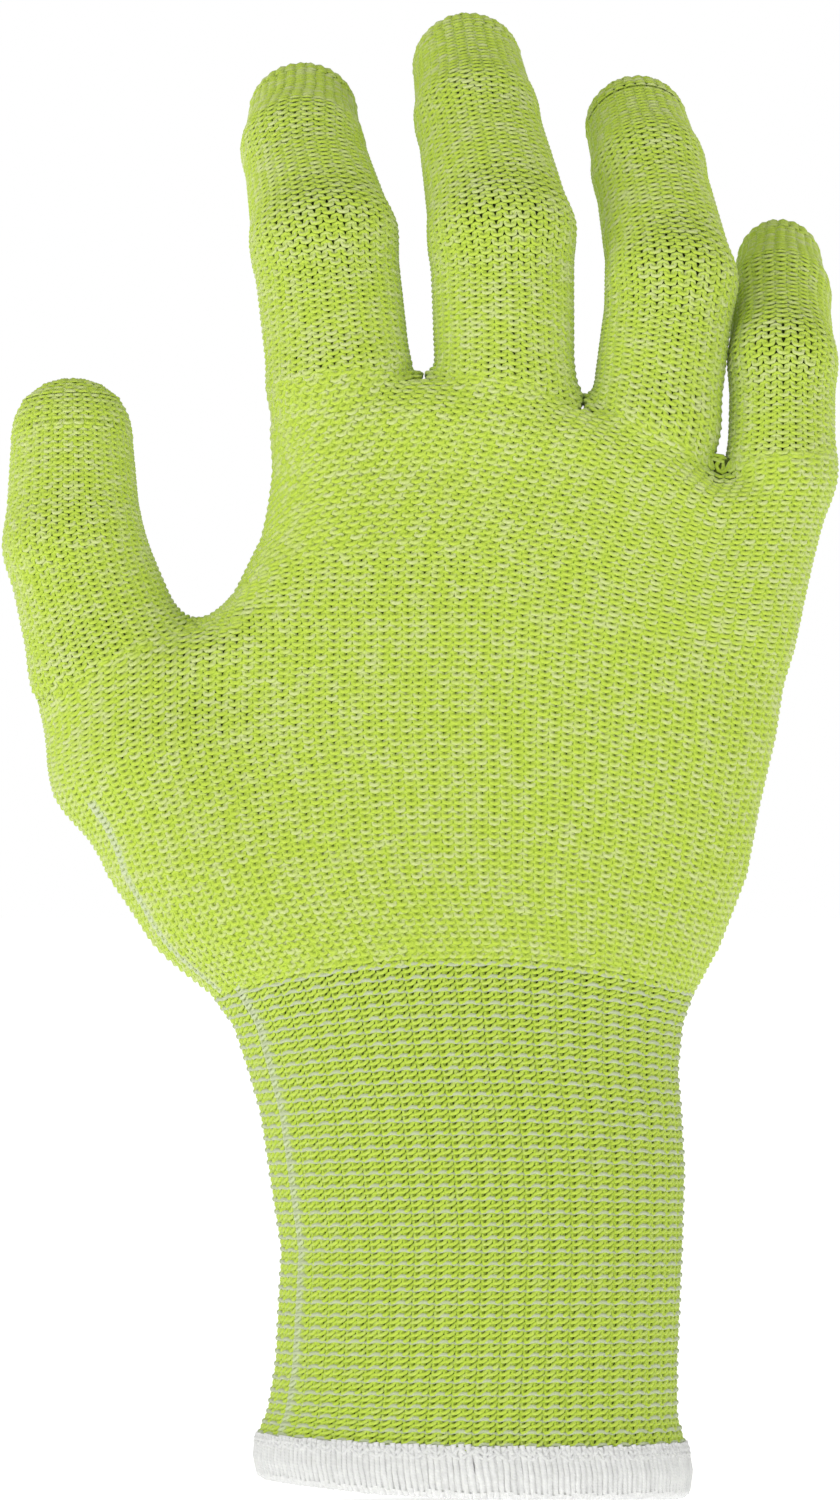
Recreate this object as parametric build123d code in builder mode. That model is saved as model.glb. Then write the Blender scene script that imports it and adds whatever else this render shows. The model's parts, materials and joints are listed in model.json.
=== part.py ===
from build123d import *
import os
from math import cos, radians, sin, tan

# A seamless knitted cut resistant glove for a right hand, with the shape of the hand in it.
# Origin: centre of the cuff mouth. +Z to the fingertips, +X to the little finger, +Y to the palm side.

os.makedirs("parts", exist_ok=True)

# Driving dimensions, in millimetres and degrees.
WALL = 1.2                    # thickness of the knit
GAP = 0.25                    # each part stops this far short of the plane of a joint
HINGE = Vector(-1, 0, 0)      # a positive turn about it bends a finger towards the palm

# Cuff: (height, half width, half depth) of its elliptical rings.
CUFF_RINGS = [(0, 34.5, 21.5), (5, 35.5, 22.0), (12, 33.6, 20.8), (40, 33.2, 20.3), (62, 34.6, 20.2), (84, 39.0, 20.0)]
ELASTIC_PITCH = 2.13          # one laid-in elastic yarn every other course
ELASTIC_SIZE = 0.8
HEM_HEIGHT = 8.0
HEM_THREAD = 0.5

# Hand: (centre, half width, half depth) of its rings, from the wrist up; it splits at the thumb crotch.
WRIST = (-2, 0, 84)
WRIST_BEND = 25
LOWER_HAND_RINGS = [
    ((-2, 0, 84), 40.0, 19.8),
    ((-3, 0, 104), 47.5, 18.6),
    ((0.5, 0, 125), 49.5, 17.0),
    ((6.5, 0, 147), 48.0, 15.4),
]
UPPER_HAND_RINGS = [((6.5, 0, 147), 48.0, 15.4), ((10.5, 0, 160), 46.6, 13.8)]
HAND_TOP = ((12.5, 0, 171), 46.4, 11.2)
HAND_TOP_SLOPE = 11.3         # the finger roots step down towards the little finger

# Thumb: (centre, lean to the thumb side, half width, half depth) of its rings.
THUMB_GUSSET = [
    ((-28, 0, 92), 29, 13.5, 15.0),
    ((-36.5, 0.8, 104), 29, 17.4, 15.6),
    ((-45, 1.5, 117), 29, 18.6, 14.4),
]
THUMB_ROOT = ((-59.3, 2, 139.7), 29, 15.0, 11.4)
THUMB_MIDDLE = ((-64.2, 2.5, 150), 20, 12.6, 10.6)
THUMB_KNUCKLE = ((-66.8, 3, 159.5), 8, 11.6, 10.2)
THUMB_TIP_LENGTH = 28
THUMB_TIP_WIDTHS = (10.2, 9.0)
THUMB_TIP_TILT = 14
THUMB_TIP_LEAN = 6
THUMB_ROOT_BEND = (-10, 35)
THUMB_TIP_BEND = (-20, 40)

# Fingers: joint centres from the crotch to the end joint, half widths and half depths there,
# then the length and the tilt of the closed tip.
FINGERS = {
    "index": {
        "joints": [(-22.2, 0, 186), (-24.5, 4.5, 210.5), (-27.6, 20.4, 226.5)],
        "half_widths": [12.4, 11.9, 10.0, 9.2],
        "half_depths": [10.0, 9.6, 8.7, 8.0],
        "tip_length": 23, "tip_tilt": 64, "tip_shift": -0.6,
    },
    "middle": {
        "joints": [(5.5, 0, 185), (5.4, 3.7, 211.5), (2.2, 21, 232)],
        "half_widths": [11.5, 12.1, 10.2, 9.4],
        "half_depths": [10.2, 9.8, 8.9, 8.2],
        "tip_length": 25, "tip_tilt": 56, "tip_shift": -1.0,
    },
    "ring": {
        "joints": [(30.2, 0, 179.5), (32.2, 4, 203.5), (29.6, 21, 223)],
        "half_widths": [10.8, 10.5, 9.4, 8.7],
        "half_depths": [9.8, 9.4, 8.5, 7.8],
        "tip_length": 23, "tip_tilt": 58, "tip_shift": -0.6,
    },
    "little": {
        "joints": [(51.6, 1, 171.5), (52.4, 4.2, 190), (52.2, 18, 201.5)],
        "half_widths": [9.0, 8.7, 8.2, 7.7],
        "half_depths": [9.0, 8.4, 7.8, 7.2],
        "tip_length": 20, "tip_tilt": 64, "tip_shift": 0,
    },
}
ROOT_BEND = (-20, 60)
KNUCKLE_BEND = (-30, 45)
END_BEND = (-18, 27)          # 0.6 of the knuckle's bend
COLLAR_LENGTH = 22            # finger root inside the hand
COLLAR_GATHER = 0.93          # how far the roots draw together at the foot of the collars


def tilted(tilt, lean=0):
    """Direction tilted towards the palm side, and leaning to the thumb side."""
    return Vector(-sin(radians(lean)), sin(radians(tilt)), cos(radians(tilt)) * cos(radians(lean))).normalized()


def between(first, second):
    """Direction halfway between two directions."""
    return (first + second).normalized()


def ring_plane(centre, direction):
    """Plane across a tube, with its x axis towards the little finger."""
    across = Vector(0, 1, 0).cross(direction).normalized()
    return Plane(origin=centre, x_dir=across, z_dir=direction)


def tube(rings, ruled=False):
    """Closed solid through elliptical rings of (centre, direction, half width, half depth)."""
    with BuildPart(mode=Mode.PRIVATE) as body:
        for centre, direction, half_width, half_depth in rings:
            with BuildSketch(ring_plane(centre, direction)):
                Ellipse(half_width, half_depth)
        loft(ruled=ruled)
    return body.part


def palm_tube(rings, top_slope=0):
    """Closed solid through the hand's flattened rings; the last one can slope to the side."""
    with BuildPart(mode=Mode.PRIVATE) as body:
        for centre, half_width, half_depth in rings:
            slope = top_slope if centre == rings[-1][0] else 0
            with BuildSketch(ring_plane(centre, Vector(sin(radians(slope)), 0, cos(radians(slope))))):
                Ellipse(half_width, half_depth)
        loft()
    return body.part


def thinner(rings):
    """The same rings, smaller all round by the thickness of the knit."""
    return [(*ring[:-2], ring[-2] - WALL, ring[-1] - WALL) for ring in rings]


def joint_cut(centre, direction, bend, reach, upper, axis=HINGE):
    """Solid that trims a tube's end to a wedge about its hinge, so that the neighbours can turn."""
    palm_side = axis.cross(direction).normalized()
    side = 1 if upper else -1
    far = 30
    palm_drop = GAP + far * tan(radians(bend[1] / 2))
    back_drop = GAP + far * tan(radians(-bend[0] / 2))
    with BuildPart(mode=Mode.PRIVATE) as body:
        with BuildSketch(Plane(origin=centre, x_dir=palm_side, z_dir=-axis)):
            with BuildLine():
                Polyline(
                    (0, -side * GAP),
                    (far, -side * palm_drop),
                    (far, side * far),
                    (-far, side * far),
                    (-far, -side * back_drop),
                    close=True,
                )
            make_face()
        extrude(amount=reach, both=True)
    return body.part


def save(piece, name):
    piece.label = name
    export_step(piece, f"parts/{name}.step")


def cuff_radii(height):
    """Half width and half depth of the cuff at a height."""
    for (low, low_width, low_depth), (high, high_width, high_depth) in zip(CUFF_RINGS, CUFF_RINGS[1:]):
        if height <= high:
            part = (height - low) / (high - low)
            return low_width + part * (high_width - low_width), low_depth + part * (high_depth - low_depth)
    return CUFF_RINGS[-1][1:]


def cuff_band(low, high, outer_inset, inner_inset):
    """Band of the cuff's shape between two heights and two insets from its outer surface."""
    heights = [low] + [ring[0] for ring in CUFF_RINGS if low < ring[0] < high] + [high]
    with BuildPart(mode=Mode.PRIVATE) as band:
        for inset, mode in ((outer_inset, Mode.ADD), (inner_inset, Mode.SUBTRACT)):
            for height in heights:
                half_width, half_depth = cuff_radii(height)
                centre_x = WRIST[0] * height / WRIST[2]
                with BuildSketch(Plane.XY.offset(height)):
                    with Locations((centre_x, 0)):
                        Ellipse(half_width - inset, half_depth - inset)
            loft(ruled=True, mode=mode)
    return band.part


# Cuff: rib knit, its laid-in elastic yarns and the overlocked edge.
rib_tube = cuff_band(HEM_THREAD, WRIST[2], 0, WALL)
wrist_trim = joint_cut(WRIST, Vector(0, 0, 1), (-WRIST_BEND, WRIST_BEND), 60, upper=True)
with BuildPart() as cuff_rib_knit:
    add(rib_tube)
    add(wrist_trim, mode=Mode.SUBTRACT)
save(cuff_rib_knit.part, "cuff_rib_knit")

elastic_low = HEM_HEIGHT + 2 * ELASTIC_SIZE
elastic_high = WRIST[2] - 22 * tan(radians(WRIST_BEND / 2)) - 2 * ELASTIC_SIZE
elastic_count = int((elastic_high - elastic_low) / ELASTIC_PITCH) + 1
elastic_rings = [
    cuff_band(
        elastic_low + index * ELASTIC_PITCH,
        elastic_low + index * ELASTIC_PITCH + ELASTIC_SIZE,
        WALL,
        WALL + ELASTIC_SIZE,
    )
    for index in range(elastic_count)
]
with BuildPart() as cuff_elastic_yarn:
    add(elastic_rings)
save(cuff_elastic_yarn.part, "cuff_elastic_yarn")

upper_looper = cuff_band(0, HEM_HEIGHT, -HEM_THREAD, 0)
with BuildPart() as hem_upper_looper_thread:
    add(upper_looper)
save(hem_upper_looper_thread.part, "hem_upper_looper_thread")

lower_looper = cuff_band(0, HEM_HEIGHT, WALL, WALL + HEM_THREAD)
edge_lock = cuff_band(0, HEM_THREAD, 0, WALL)
with BuildPart() as hem_lower_looper_thread:
    add(lower_looper)
    add(edge_lock)
save(hem_lower_looper_thread.part, "hem_lower_looper_thread")

needle_row = cuff_band(HEM_HEIGHT, HEM_HEIGHT + HEM_THREAD, -HEM_THREAD, 0)
with BuildPart() as hem_needle_thread:
    add(needle_row)
save(hem_needle_thread.part, "hem_needle_thread")


# Hand: one tube round the palm, with the finger roots at its top and the thumb gusset at its side.
def finger_direction(finger, part):
    """Direction of a finger's part: 0 from root to knuckle, 1 to the end joint, 2 the tip."""
    if part == 2:
        return tilted(finger["tip_tilt"])
    start = finger["joints"][part]
    end = finger["joints"][part + 1]
    return Vector(0, end[1] - start[1], end[2] - start[2]).normalized()


def joint_direction(finger, joint):
    """Direction of a finger at one of its joints."""
    below = Vector(0, 0, 1) if joint == 0 else finger_direction(finger, joint - 1)
    return between(below, finger_direction(finger, joint))


def finger_ring(finger, joint):
    """Ring of a finger at one of its joints."""
    return (
        finger["joints"][joint],
        joint_direction(finger, joint),
        finger["half_widths"][joint],
        finger["half_depths"][joint],
    )


def collar_rings(finger):
    """Root of a finger inside the hand, up to its first joint."""
    x, y, z = finger["joints"][0]
    half_width = finger["half_widths"][0]
    half_depth = finger["half_depths"][0]
    low = ((x * COLLAR_GATHER, 0, z - COLLAR_LENGTH), Vector(0, 0, 1), half_width - 1.5, half_depth)
    return [low, finger_ring(finger, 0)]


def lifted(rings, distance):
    """The same rings, moved along their directions."""
    return [(Vector(*ring[0]) + ring[1] * distance, *ring[1:]) for ring in rings]


lower_palm = palm_tube(LOWER_HAND_RINGS)
lower_hollow = palm_tube(thinner(LOWER_HAND_RINGS))
gusset_rings = [(centre, tilted(0, lean), width, depth) for centre, lean, width, depth in [*THUMB_GUSSET, THUMB_ROOT]]
gusset = tube(gusset_rings)
gusset_hollow = tube(thinner(gusset_rings))
wrist_lower_trim = joint_cut(WRIST, Vector(0, 0, 1), (-WRIST_BEND, WRIST_BEND), 60, upper=False)
thumb_direction = tilted(0, THUMB_ROOT[1])
thumb_axis = Vector(0, 1, 0).cross(thumb_direction).normalized() * -1
thumb_lower_trim = joint_cut(THUMB_ROOT[0], thumb_direction, THUMB_ROOT_BEND, 18, upper=True, axis=thumb_axis)
with BuildPart() as lower_hand_knit:
    add(lower_palm)
    add(gusset)
    add(lower_hollow, mode=Mode.SUBTRACT)
    add(gusset_hollow, mode=Mode.SUBTRACT)
    add(wrist_lower_trim, mode=Mode.SUBTRACT)
    add(thumb_lower_trim, mode=Mode.SUBTRACT)
save(lower_hand_knit.part, "lower_hand_knit")

upper_palm_rings = [*UPPER_HAND_RINGS, HAND_TOP]
upper_palm = palm_tube(upper_palm_rings, HAND_TOP_SLOPE)
hollow_top = ((HAND_TOP[0][0], HAND_TOP[0][1], HAND_TOP[0][2] - WALL), *HAND_TOP[1:])
upper_hollow = palm_tube(thinner([*UPPER_HAND_RINGS, hollow_top]), HAND_TOP_SLOPE)
collars = [tube(collar_rings(finger)) for finger in FINGERS.values()]
collar_hollows = [tube(thinner(collar_rings(finger))) for finger in FINGERS.values()]
root_trims = [
    joint_cut(finger["joints"][0], joint_direction(finger, 0), ROOT_BEND, finger["half_widths"][0] + 0.4, upper=True)
    for finger in FINGERS.values()
]
with BuildPart() as upper_hand_knit:
    add(upper_palm)
    for collar in collars:
        add(collar)
    add(upper_hollow, mode=Mode.SUBTRACT)
    for collar_hollow in collar_hollows:
        add(collar_hollow, mode=Mode.SUBTRACT)
    for root_trim in root_trims:
        add(root_trim, mode=Mode.SUBTRACT)
save(upper_hand_knit.part, "upper_hand_knit")


# Fingers: each is three tubes, root part, middle part and closed tip.
def tip_rings(finger):
    """Rings of a fingertip, rounded over at its end."""
    start = finger_ring(finger, 2)
    direction = finger_direction(finger, 2)
    width = finger["half_widths"][3]
    depth = finger["half_depths"][3]
    return closed_end(start, direction, finger["tip_length"], width, depth, finger["tip_shift"])


def closed_end(start, direction, length, half_width, half_depth, shift):
    """Rings from a start ring to a rounded end, with a sideways shift of the end."""
    base = Vector(*start[0])
    body = length - half_depth
    rings = [start]
    for turn in (0, 25, 48, 68, 82):
        along = direction * (body + half_depth * sin(radians(turn)))
        size = cos(radians(turn))
        rings.append((base + along + Vector(shift, 0, 0), direction, half_width * size, half_depth * size))
    return rings


for finger_name, finger in FINGERS.items():
    reach = max(finger["half_widths"]) + 2
    first, second, third = (finger_ring(finger, joint) for joint in range(3))

    proximal = tube([first, second])
    proximal_hollow = tube(thinner(lifted([first], -1) + lifted([second], 1)))
    proximal_start = joint_cut(first[0], first[1], ROOT_BEND, reach, upper=False)
    proximal_end = joint_cut(second[0], second[1], KNUCKLE_BEND, reach, upper=True)
    with BuildPart() as proximal_knit:
        add(proximal)
        add(proximal_hollow, mode=Mode.SUBTRACT)
        add(proximal_start, mode=Mode.SUBTRACT)
        add(proximal_end, mode=Mode.SUBTRACT)
    save(proximal_knit.part, f"{finger_name}_proximal_knit")

    middle = tube([second, third])
    middle_hollow = tube(thinner(lifted([second], -1) + lifted([third], 1)))
    middle_start = joint_cut(second[0], second[1], KNUCKLE_BEND, reach, upper=False)
    middle_end = joint_cut(third[0], third[1], END_BEND, reach, upper=True)
    with BuildPart() as middle_knit:
        add(middle)
        add(middle_hollow, mode=Mode.SUBTRACT)
        add(middle_start, mode=Mode.SUBTRACT)
        add(middle_end, mode=Mode.SUBTRACT)
    save(middle_knit.part, f"{finger_name}_middle_knit")

    rings = tip_rings(finger)
    tip = tube(rings, ruled=True)
    tip_hollow = tube(thinner(lifted(rings[:1], -1) + rings[1:-1]), ruled=True)
    tip_start = joint_cut(third[0], third[1], END_BEND, reach, upper=False)
    with BuildPart() as tip_knit:
        add(tip)
        add(tip_hollow, mode=Mode.SUBTRACT)
        add(tip_start, mode=Mode.SUBTRACT)
    save(tip_knit.part, f"{finger_name}_tip_knit")


# Thumb: root part and closed tip.
thumb_root_ring = (THUMB_ROOT[0], thumb_direction, *THUMB_ROOT[2:])
thumb_middle_ring = (THUMB_MIDDLE[0], tilted(4, THUMB_MIDDLE[1]), *THUMB_MIDDLE[2:])
thumb_knuckle_direction = tilted(8, THUMB_KNUCKLE[1])
thumb_knuckle_ring = (THUMB_KNUCKLE[0], thumb_knuckle_direction, *THUMB_KNUCKLE[2:])
thumb_knuckle_axis = Vector(0, 1, 0).cross(thumb_knuckle_direction).normalized() * -1
thumb_rings = [thumb_root_ring, thumb_middle_ring, thumb_knuckle_ring]
thumb_tube = tube(thumb_rings)
thumb_hollow = tube(thinner(lifted(thumb_rings[:1], -1) + thumb_rings[1:2] + lifted(thumb_rings[2:], 1)))
thumb_start = joint_cut(THUMB_ROOT[0], thumb_direction, THUMB_ROOT_BEND, 18, upper=False, axis=thumb_axis)
thumb_end = joint_cut(
    THUMB_KNUCKLE[0], thumb_knuckle_direction, THUMB_TIP_BEND, 16, upper=True, axis=thumb_knuckle_axis
)
with BuildPart() as thumb_proximal_knit:
    add(thumb_tube)
    add(thumb_hollow, mode=Mode.SUBTRACT)
    add(thumb_start, mode=Mode.SUBTRACT)
    add(thumb_end, mode=Mode.SUBTRACT)
save(thumb_proximal_knit.part, "thumb_proximal_knit")

thumb_tip_direction = tilted(THUMB_TIP_TILT, THUMB_TIP_LEAN)
thumb_tip_rings = closed_end(thumb_knuckle_ring, thumb_tip_direction, THUMB_TIP_LENGTH, *THUMB_TIP_WIDTHS, 0)
thumb_tip = tube(thumb_tip_rings, ruled=True)
thumb_tip_hollow = tube(thinner(lifted(thumb_tip_rings[:1], -1) + thumb_tip_rings[1:-1]), ruled=True)
thumb_tip_start = joint_cut(
    THUMB_KNUCKLE[0], thumb_knuckle_direction, THUMB_TIP_BEND, 16, upper=False, axis=thumb_knuckle_axis
)
with BuildPart() as thumb_tip_knit:
    add(thumb_tip)
    add(thumb_tip_hollow, mode=Mode.SUBTRACT)
    add(thumb_tip_start, mode=Mode.SUBTRACT)
save(thumb_tip_knit.part, "thumb_tip_knit")
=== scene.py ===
import json
import math

import bpy
import numpy as np
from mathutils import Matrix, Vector


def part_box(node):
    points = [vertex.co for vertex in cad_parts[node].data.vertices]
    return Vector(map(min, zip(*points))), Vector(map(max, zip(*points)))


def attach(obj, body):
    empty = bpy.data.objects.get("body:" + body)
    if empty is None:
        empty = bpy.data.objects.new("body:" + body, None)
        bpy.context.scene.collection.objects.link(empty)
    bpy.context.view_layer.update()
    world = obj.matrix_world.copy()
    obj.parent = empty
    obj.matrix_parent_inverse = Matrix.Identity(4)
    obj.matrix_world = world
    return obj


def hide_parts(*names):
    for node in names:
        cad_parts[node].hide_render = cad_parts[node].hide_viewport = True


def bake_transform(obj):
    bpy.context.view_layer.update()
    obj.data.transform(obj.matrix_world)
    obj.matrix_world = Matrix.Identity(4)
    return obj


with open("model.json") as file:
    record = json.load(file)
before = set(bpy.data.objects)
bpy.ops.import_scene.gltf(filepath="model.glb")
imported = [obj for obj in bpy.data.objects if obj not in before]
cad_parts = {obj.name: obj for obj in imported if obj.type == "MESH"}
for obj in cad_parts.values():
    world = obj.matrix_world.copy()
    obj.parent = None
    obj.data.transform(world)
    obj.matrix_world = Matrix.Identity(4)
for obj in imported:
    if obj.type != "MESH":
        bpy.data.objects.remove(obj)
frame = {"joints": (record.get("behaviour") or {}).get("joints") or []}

# A seamless knitted glove, drawn yarn by yarn. Lengths are in millimetres until a mesh is made.
# +X runs to the little finger, +Y to the palm side, +Z to the fingertips.

MM = 0.001
rng = np.random.default_rng(7)
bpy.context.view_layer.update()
joints = {joint["name"]: np.array(joint["pos_m"]) / MM for joint in frame["joints"]}


def corners(node):
    low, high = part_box(node)
    return np.array(low) / MM, np.array(high) / MM


# Camera: level with the middle of the glove, in front of the back of the hand.
PICTURE_HEIGHT = 251.7        # what the frame's long side shows at the glove
PICTURE_CENTRE = Vector((-8.56, 0, 124.8))
CAMERA_DISTANCE = 2600.0
camera_data = bpy.data.cameras.new("camera")
camera_data.sensor_fit = "VERTICAL"
camera_data.sensor_height = 36
camera_data.sensor_width = 36
camera_data.lens = 36 * CAMERA_DISTANCE / PICTURE_HEIGHT
camera_data.clip_end = 20
camera = bpy.data.objects.new("camera", camera_data)
camera.location = (PICTURE_CENTRE + Vector((0, -CAMERA_DISTANCE, 0))) * MM
camera.rotation_euler = (math.radians(90), 0, 0)
bpy.context.scene.collection.objects.link(camera)
bpy.context.scene.camera = camera

# Knit: distance between wales and courses, and the yarn's path and size in a stitch.
WALE = 2.05
THUMB_WALE = 2.1
COURSE = 1.04
LOOP_BULGE = 0.235            # sideways swing of the yarn, in wales
LOOP_HEIGHT = 0.92            # up and down swing, in courses
LOOP_DEPTH = 0.24
SINKER_LIFT = 0.20            # how far the lower arcs stand in front of the upper ones
SIDE_FLATNESS = 0.6           # share of that relief lost where the fabric faces sideways
YARN_WIDTH = 0.33             # half width of the yarn on the digits
ROOT_YARN_WIDTH = 0.35
HAND_YARN_WIDTH = 0.37
YARN_DEPTH = 0.28
SAMPLES = 12                  # points of yarn in a stitch
FACETS = 4                    # visible facets round the yarn
LINER_DEPTH = 0.6
LINER_OVERLAP = 1.5           # courses by which the inner faces of neighbouring pieces overlap

# Digits: their first courses tuck in under the hand's last ones, and stop at a plane between neighbours.
TUCKED_COURSES = 3
TUCK_DEPTH = 0.9
GATED_COURSES = 14            # courses that stop at that plane
GATE_SPREAD = 0.22            # how much wider that gate gets with each course
SLOPED_COURSES = 22           # courses over which a finger's rings turn level
NO_LIMIT = 1e9
TIP_ROUNDS = (                # rounds that close a tip: first and last angle, share of the digit's wales
    (0.06, 0.78, 0.9),
    (0.74, 1.14, 0.6),
    (1.08, 1.5, 0.3),
)

# Fingers: half widths and half depths at root, knuckle, end and tip.
FINGER_NAMES = ("index", "middle", "ring", "little")
FINGER_WIDTHS = {
    "index": (11.7, 11.8, 9.7, 8.7),
    "middle": (11.3, 11.8, 9.8, 8.8),
    "ring": (10.5, 10.4, 8.9, 8.2),
    "little": (8.7, 8.5, 7.9, 6.8),
}
FINGER_DEPTHS = {
    "index": (10.2, 9.6, 8.6, 7.6),
    "middle": (10.4, 9.8, 8.8, 7.8),
    "ring": (10.0, 9.4, 8.4, 7.4),
    "little": (9.2, 8.4, 7.7, 6.8),
}
# How far the middle of the outline lies beside the line of the joints, at the same places.
BONE_SHIFTS = {
    "index": (0.3, -0.2, -0.8, -0.8),
    "middle": (0.2, -0.2, -1.2, -2.7),
    "ring": (0.5, 1.6, 0.5, -1.5),
    "little": (0.5, 0.0, 0.0, 0.2),
}
# Where each finger's first course starts and ends: x and z of the crotches and of the two sides.
CROTCHES = [(-36.5, 186.5), (-7.7, 188.8), (18.6, 183.9), (41.0, 173.2), (61.5, 174.5)]
CROTCH_X, CROTCH_Z = np.array(CROTCHES).T
CROTCH_ROUNDING = 9.0

# Hand: wales of its courses, the level where the thumb leaves it, and (height, centre, half width, half
# depth) of the palm.
SEAM_X = -40.0                # the courses above and below the thumb match from here to the little finger
MIDDLE_WALES = 96             # wales past SEAM_X, all round
THUMB_SIDE_WALES = 17         # wales on each face before SEAM_X, below the thumb's level
CROTCH_WALES = 9              # the same above it
THUMB_LEVEL = 148.0
LEVEL_DROP = 7.0              # how much lower that level is at the little finger
THUMB_SLANT = math.tan(math.radians(29))
UPPER_ROWS = 37               # courses above the thumb's level
LOWER_ROWS = 53               # courses below it
WRIST_ROWS = 14               # the first of those, made as a piece of their own
LINED_ROWS = 33               # the first of those, which show a pale line at the thumb's side
SIDE_WALE = 4.5               # where that line runs
PALM_RINGS = np.array([
    (78, -2.2, 37.4, 20.2),
    (84, -2.8, 39.8, 20.0),
    (92, -4.2, 45.6, 19.6),
    (104, -5.2, 51.2, 18.6),
    (116, -2.6, 50.8, 17.6),
    (127, 1.0, 49.8, 16.8),
    (147, 6.2, 47.6, 15.4),
    (160, 10.0, 45.0, 13.6),
    (172, 12.6, 44.8, 11.6),
])

# Thumb: (centre, half width, half depth) inside the hand, then the half sizes at root, knuckle and tip.
THUMB_BONES = [
    ((-42, 0.8, 104), 14.0, 14.6),
    ((-53.4, 1.5, 125), 17.6, 14.4),
]
THUMB_WIDTHS = (13.3, 11.2, 9.8)
THUMB_DEPTHS = (11.6, 10.4, 9.0)
THUMB_ROOT_SHIFT = -1.2
THUMB_GATE = -45.5            # the thumb's first courses stop here, towards the hand

WEB_BONE = ((-51.0, 1, 136.6), (-41, 1, 139.6))    # fold of fabric between thumb and hand
WEB_HEIGHT = 7.4
WEB_DEPTH = 11.5

# Cuff: (height, centre, half width, half depth).
CUFF_RINGS = np.array([
    (0, 0.4, 35.4, 21.8),
    (4, 0.3, 36.0, 22.2),
    (9, 0.1, 35.3, 21.6),
    (13, 0.2, 34.0, 20.9),
    (22, 0.9, 33.3, 20.5),
    (41, 1.8, 33.2, 20.3),
    (54, 1.0, 34.4, 20.3),
    (64, 0.0, 34.9, 20.3),
    (71, -1.3, 35.6, 20.2),
    (79, -2.2, 37.3, 20.1),
    (86, -3.4, 41.0, 20.0),
    (92, -4.0, 45.0, 19.6),
])
CUFF_SQUARENESS = 0.92
CUFF_WALES = 92
CUFF_TOP = 90.3
CUFF_SIDE_DROP = 6.6          # the cuff's last course is arched
CUFF_SIDE_WALE = 5.5          # where the pale side line runs
RIB_HEIGHT = 0.14
ELASTIC_COURSES = 38
ELASTIC_SAMPLES = 8           # points of elastic yarn in a wale
HEM_TOP = 7.7
HEM_LIFT_X = (-36, -15, 10, 36)
HEM_LIFT = (3.3, 1.3, 0.2, 0.0)
HEM_TILT_HEIGHT = 17          # the hem's tilt has faded out here
HEM_STRANDS = 190
HEM_INSIDE = 6.0              # how far the wrap runs up inside the cuff
HEM_EDGE = 1.6                # length of the wrap round the edge itself
HEM_THICKNESS = 1.7
HEM_DIP = 0.75
THREAD_WIDTH = 0.49
THREAD_DEPTH = 0.42


def unit(vector):
    return vector / np.linalg.norm(vector)


def tip_centre(node, depth):
    """Centre of a rounded tip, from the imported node's box."""
    low, high = corners(node)
    centre_x = (low[0] + high[0]) / 2
    return np.array([centre_x, high[1] - depth, high[2] - depth])


def bone_distance(points, start, end, widths, depths):
    """Distance to a tapered bone with an oval section."""
    length = np.linalg.norm(end - start)
    direction = (end - start) / length
    across = unit(np.cross([0, 1, 0], direction))
    facing = np.cross(direction, across)
    offset = points - start
    along = offset @ direction
    part = np.clip(along / length, 0, 1)
    width = widths[0] + part * (widths[1] - widths[0])
    depth = depths[0] + part * (depths[1] - depths[0])
    rest = offset - (part * length)[:, None] * direction
    side = rest @ across
    front = rest @ facing
    over = rest @ direction
    scaled = np.sqrt((side / width) ** 2 + (front / depth) ** 2 + (over / depth) ** 2)
    size = np.sqrt(side ** 2 + front ** 2 + over ** 2)
    return size * (1 - 1 / np.maximum(scaled, 1e-3))


def palm_distance(points):
    """Distance to the flattened tube of the hand, as oval as the cuff where they meet and rounded over at
    its top."""
    x, y, z = points.T
    top = np.interp(x, CROTCH_X, CROTCH_Z) - CROTCH_ROUNDING
    height = np.minimum(z, top)
    centre = np.interp(height, PALM_RINGS[:, 0], PALM_RINGS[:, 1])
    width = np.interp(height, PALM_RINGS[:, 0], PALM_RINGS[:, 2])
    depth = np.interp(height, PALM_RINGS[:, 0], PALM_RINGS[:, 3])
    side, over = x - centre, z - height
    power = np.interp(height, (90, 112), (2.17, 2.5))
    scaled = ((np.abs(side) / width) ** power + (np.abs(y) / depth) ** power) ** (1 / power)
    scaled = np.sqrt(scaled ** 2 + (over / CROTCH_ROUNDING) ** 2)
    size = np.sqrt(side ** 2 + y ** 2 + over ** 2)
    return size * (1 - 1 / np.maximum(scaled, 1e-3))


def joined(first, second, softness):
    """Union of two distances with a soft fillet."""
    blend = np.clip(0.5 + 0.5 * (second - first) / softness, 0, 1)
    return second + (first - second) * blend - softness * blend * (1 - blend)


fingers = {}
for name in FINGER_NAMES:
    root, knuckle, end = (joints[f"{name}_{part}"] for part in ("root", "knuckle", "end"))
    depths = FINGER_DEPTHS[name]
    tip = tip_centre(f"{name}_tip_knit", depths[3])
    base = np.array([root[0] * 0.9, 0, root[2] - 26])
    line = (root, knuckle, end, tip)
    bones = [point + np.array([shift, 0, 0]) for point, shift in zip(line, BONE_SHIFTS[name])]
    fingers[name] = {
        "points": [base, *bones],
        "widths": [FINGER_WIDTHS[name][0] - 1.5, *FINGER_WIDTHS[name]],
        "depths": [depths[0] + 0.5, *depths],
    }
thumb_tip = tip_centre("thumb_tip_knit", THUMB_DEPTHS[2])
thumb_chain = {
    "points": [np.array(bone[0], float) for bone in THUMB_BONES]
    + [joints["thumb_root"] + np.array([THUMB_ROOT_SHIFT, 0, 0]), joints["thumb_knuckle"], thumb_tip],
    "widths": [bone[1] for bone in THUMB_BONES] + list(THUMB_WIDTHS),
    "depths": [bone[2] for bone in THUMB_BONES] + list(THUMB_DEPTHS),
}


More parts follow.
